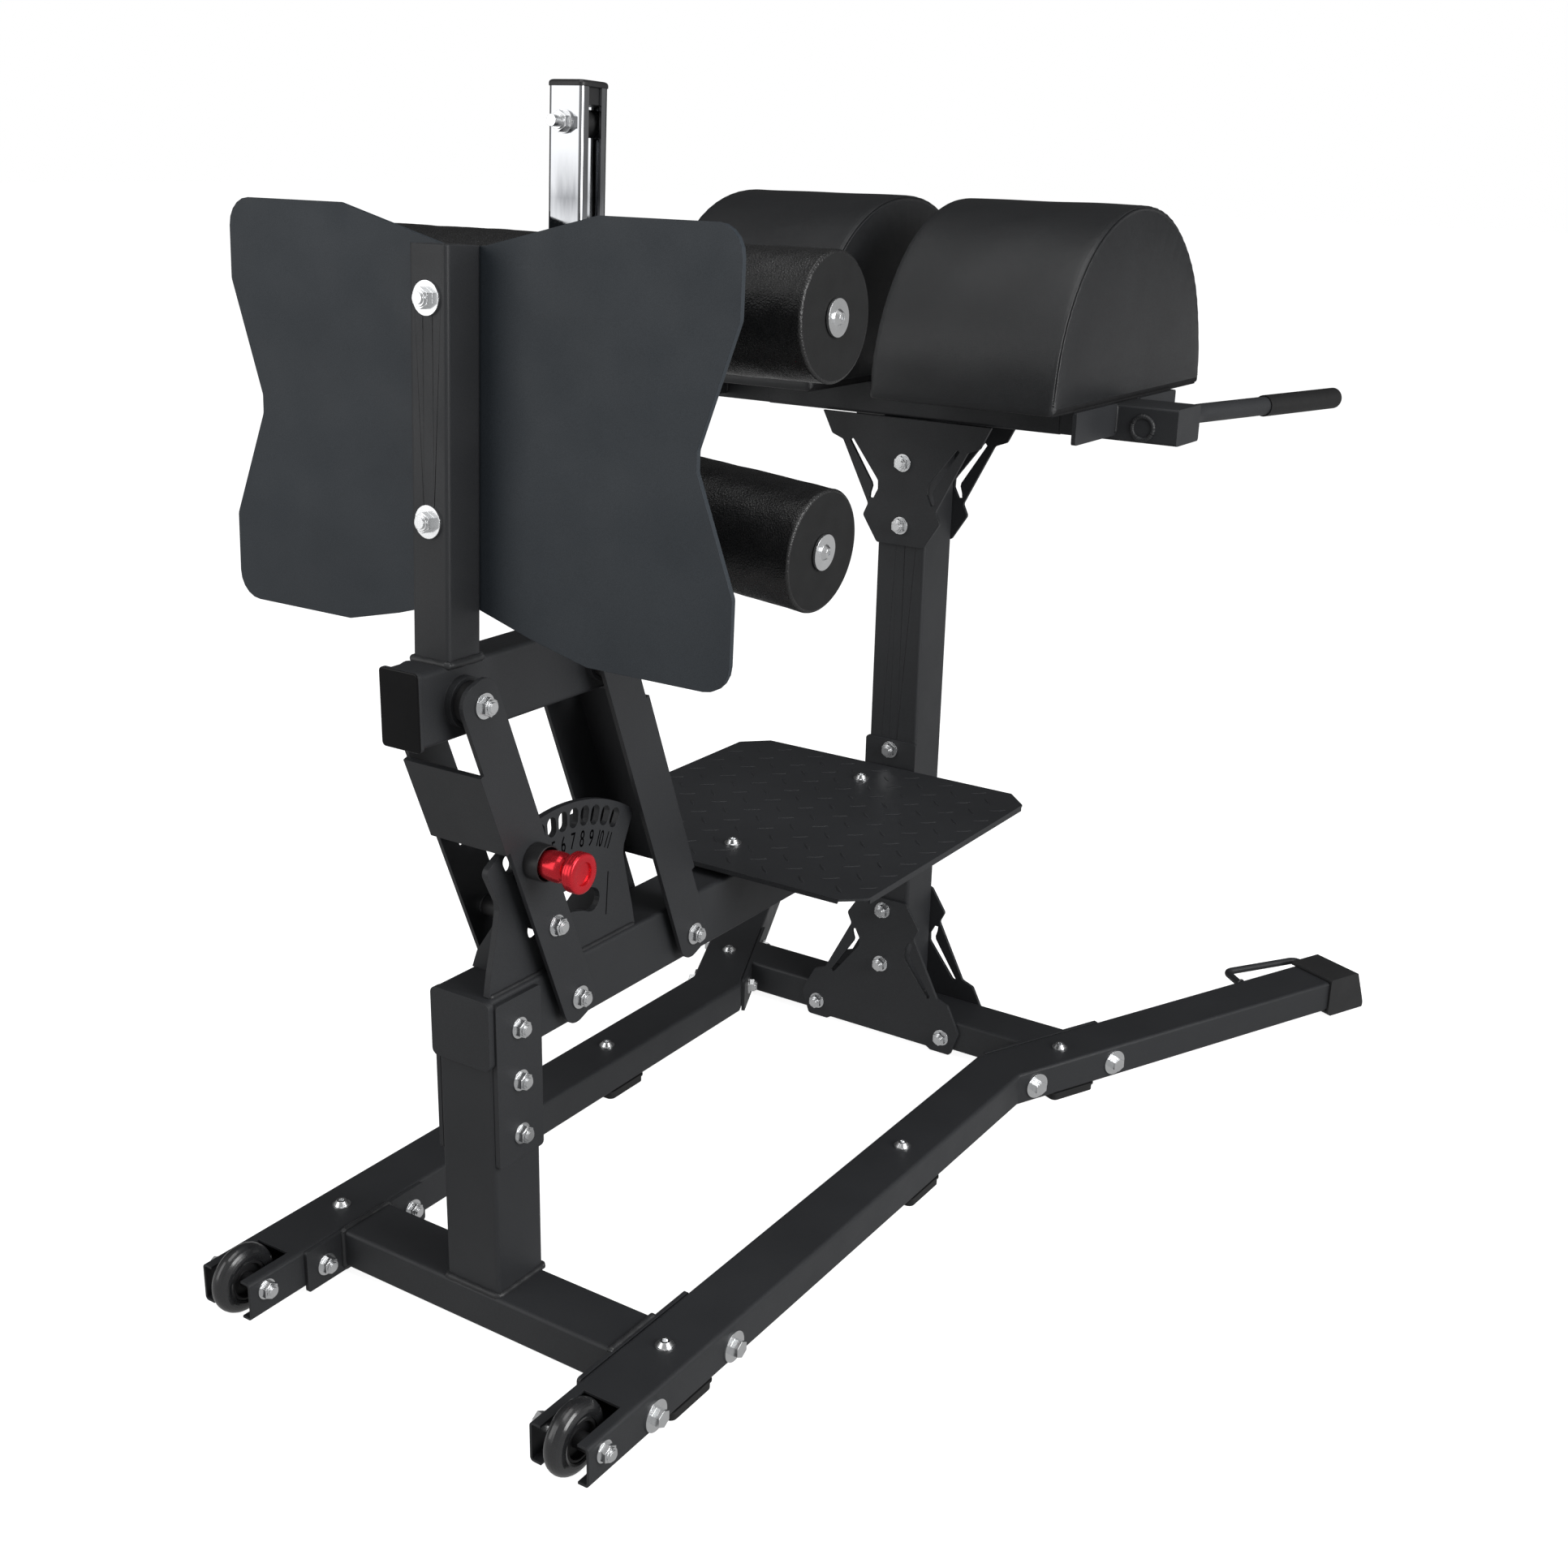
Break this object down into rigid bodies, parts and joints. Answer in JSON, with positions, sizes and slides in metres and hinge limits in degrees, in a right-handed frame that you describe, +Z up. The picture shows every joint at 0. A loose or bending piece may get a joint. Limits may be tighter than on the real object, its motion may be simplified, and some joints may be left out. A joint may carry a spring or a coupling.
{
  "type": "glute ham developer",
  "caption": "Floor-standing glute ham developer: wheeled rail frame, standing platform, split half-round pads with hand bars, and a swinging footplate and foam roller carrier.",
  "frame": {"origin": "on the floor at the middle of the machine's bounding box", "axes": "+X to the machine's right as the user kneels facing the pads, where the pin knob is; +Y along the machine from the transport wheels towards the pads and hand bars; +Z up"},
  "size_m": [1.2142, 1.7242, 1.4025],
  "materials": {
    "frame_paint": "satin",
    "footplate_paint": "satin",
    "chrome": "polished",
    "zinc": "satin",
    "rubber": "matte",
    "tyre": "satin",
    "black_plastic": "satin",
    "foam": "satin",
    "vinyl": "satin",
    "board": "matte",
    "red_knob": "gloss"
  },
  "bodies": {
    "base": {"rail_right": "frame_paint", "rail_left": "frame_paint", "rear_crossmember": "frame_paint", "front_crossmember": "frame_paint", "rear_upright": "frame_paint", "side_plates": "frame_paint", "main_beam": "frame_paint", "sector_plate": "frame_paint", "platform": "frame_paint", "front_upright": "frame_paint", "lower_gussets": "frame_paint", "upper_gussets": "frame_paint", "pad_beam": "frame_paint", "pad_arms": "frame_paint", "pad_boards": "board", "pad_right": "vinyl", "pad_left": "vinyl", "hand_bars": "frame_paint", "hand_grips": "rubber", "rail_feet": "rubber", "foot_screws": "zinc", "end_caps": "rubber", "floor_handles": "frame_paint", "base_bolts": "zinc", "frame_bolts": "zinc", "pivot_bolts": "zinc", "pivot_bushes": "black_plastic", "wheel_axles": "zinc"},
    "rear_link": {"rear_link": "frame_paint", "pin_housing": "black_plastic", "limit_bolt": "zinc"},
    "pin": {"pop_pin": "zinc", "pin_knob": "red_knob"},
    "front_link": {"front_link": "frame_paint", "front_top_bolt": "zinc"},
    "carrier": {"carrier_beam": "frame_paint", "carrier_bosses": "black_plastic", "rear_top_bolt": "zinc", "footplate_post": "frame_paint", "footplate": "footplate_paint", "carrier_bolts": "zinc", "chrome_post": "chrome", "post_cap": "black_plastic", "bumper": "rubber", "lower_axles": "zinc"},
    "carriage": {"carriage_block": "black_plastic", "upper_axle": "zinc"},
    "roller_upper_right": {"roller_foam_ur": "foam", "roller_core_ur": "black_plastic"},
    "roller_upper_left": {"roller_foam_ul": "foam", "roller_core_ul": "black_plastic"},
    "roller_lower_right": {"roller_foam_lr": "foam", "roller_core_lr": "black_plastic"},
    "roller_lower_left": {"roller_foam_ll": "foam", "roller_core_ll": "black_plastic"},
    "wheel_right": {"hub_right": "black_plastic", "tyre_right": "tyre"},
    "wheel_left": {"hub_left": "black_plastic", "tyre_left": "tyre"}
  },
  "joints": [
    {"name": "link_swing", "type": "hinge", "parent": "base", "child": "rear_link", "pos_m": [0, -0.5566, 0.4], "axis": [-1, 0, 0], "range_deg": [-5.25, 47.25]},
    {"name": "front_link_swing", "type": "hinge", "parent": "base", "child": "front_link", "pos_m": [0, -0.3286, 0.4], "axis": [-1, 0, 0], "range_deg": [-5.25, 47.25]},
    {"name": "carrier_level", "type": "hinge", "parent": "rear_link", "child": "carrier", "pos_m": [0, -0.70568, 0.78837], "axis": [-1, 0, 0], "range_deg": [-47.25, 5.25]},
    {"name": "pin_slide", "type": "slide", "parent": "rear_link", "child": "pin", "axis": [1, 0, 0], "range_m": [-0.01, 0]},
    {"name": "carriage_slide", "type": "slide", "parent": "carrier", "child": "carriage", "axis": [0, 0.0419, 0.9991], "range_m": [0, 0.12]},
    {"name": "roller_upper_right_spin", "type": "hinge", "parent": "carriage", "child": "roller_upper_right", "pos_m": [0, -0.48132, 1.18372], "axis": [1, 0, 0], "continuous": true},
    {"name": "roller_upper_left_spin", "type": "hinge", "parent": "carriage", "child": "roller_upper_left", "pos_m": [0, -0.48132, 1.18372], "axis": [1, 0, 0], "continuous": true},
    {"name": "roller_lower_right_spin", "type": "hinge", "parent": "carrier", "child": "roller_lower_right", "pos_m": [0.0225, -0.48992, 0.9784], "axis": [0.996, -0.0037, -0.0888], "continuous": true},
    {"name": "roller_lower_left_spin", "type": "hinge", "parent": "carrier", "child": "roller_lower_left", "pos_m": [-0.0225, -0.48992, 0.9784], "axis": [0.996, 0.0037, 0.0888], "continuous": true},
    {"name": "wheel_right_spin", "type": "hinge", "parent": "base", "child": "wheel_right", "pos_m": [0.254, -0.8191, 0.0445], "axis": [1, 0, 0], "continuous": true},
    {"name": "wheel_left_spin", "type": "hinge", "parent": "base", "child": "wheel_left", "pos_m": [-0.254, -0.8191, 0.0445], "axis": [1, 0, 0], "continuous": true}
  ],
  "couplings": [
    {"joint": "front_link_swing", "follows": "link_swing", "ratio": 1},
    {"joint": "carrier_level", "follows": "link_swing", "ratio": -1}
  ]
}
